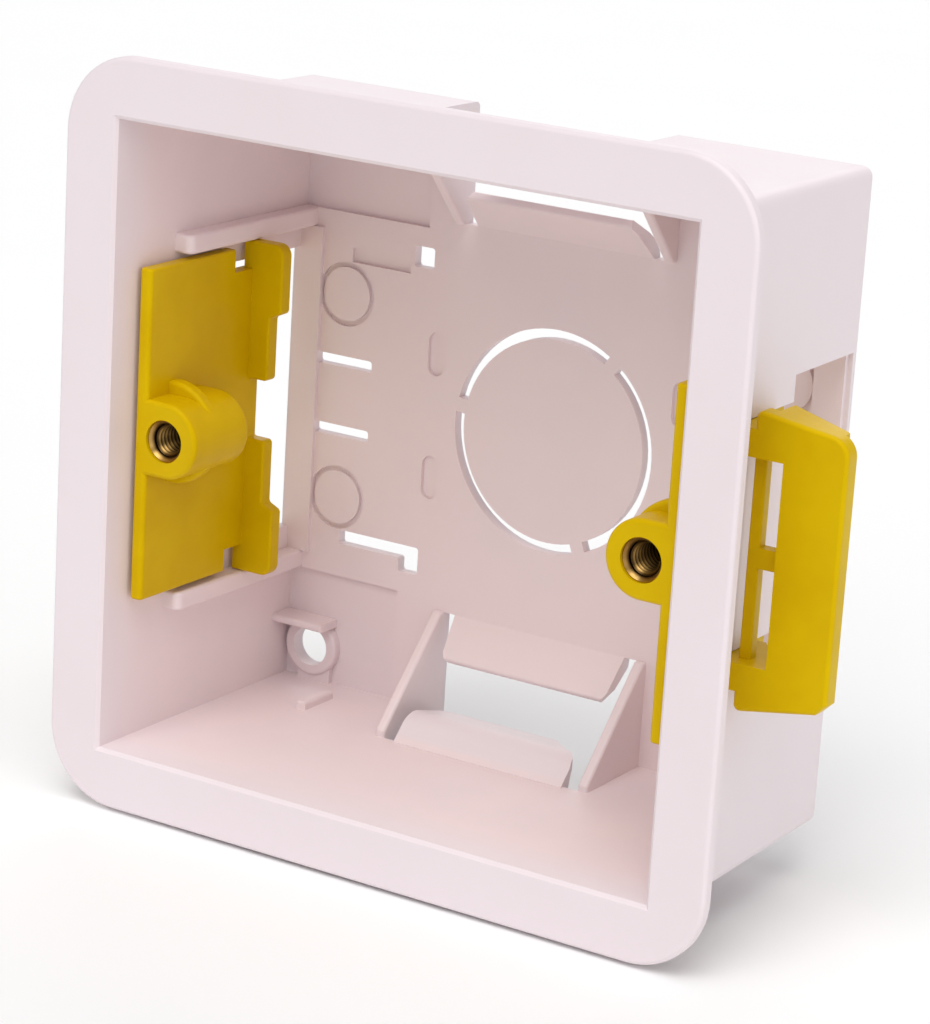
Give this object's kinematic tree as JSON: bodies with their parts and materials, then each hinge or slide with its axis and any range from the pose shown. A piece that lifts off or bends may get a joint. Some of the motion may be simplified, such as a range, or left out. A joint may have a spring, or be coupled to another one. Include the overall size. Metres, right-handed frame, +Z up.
{
  "type": "dry lining back box",
  "caption": "Square flanged back box for plasterboard walls, with sliding clamp lugs carrying threaded faceplate inserts, cable entries and a knock-out in its back.",
  "frame": {"origin": "centre of the front opening, in the front plane of the flange", "axes": "+X right seen from the front, +Y into the wall, +Z up"},
  "size_m": [0.0962, 0.0357, 0.0826],
  "materials": {
    "moulding": "satin",
    "lug": "satin",
    "insert": "satin"
  },
  "bodies": {
    "box": {"box_body": "moulding"},
    "left_clamp": {"left_lug": "lug", "left_insert": "insert"},
    "right_clamp": {"right_lug": "lug", "right_insert": "insert"}
  },
  "joints": [
    {"name": "left_lug_slide", "type": "slide", "parent": "box", "child": "left_clamp", "axis": [0, 1, 0], "range_m": [-0.0032, 0.0096]},
    {"name": "right_lug_slide", "type": "slide", "parent": "box", "child": "right_clamp", "axis": [0, 1, 0], "range_m": [-0.0011, 0.0117]}
  ]
}
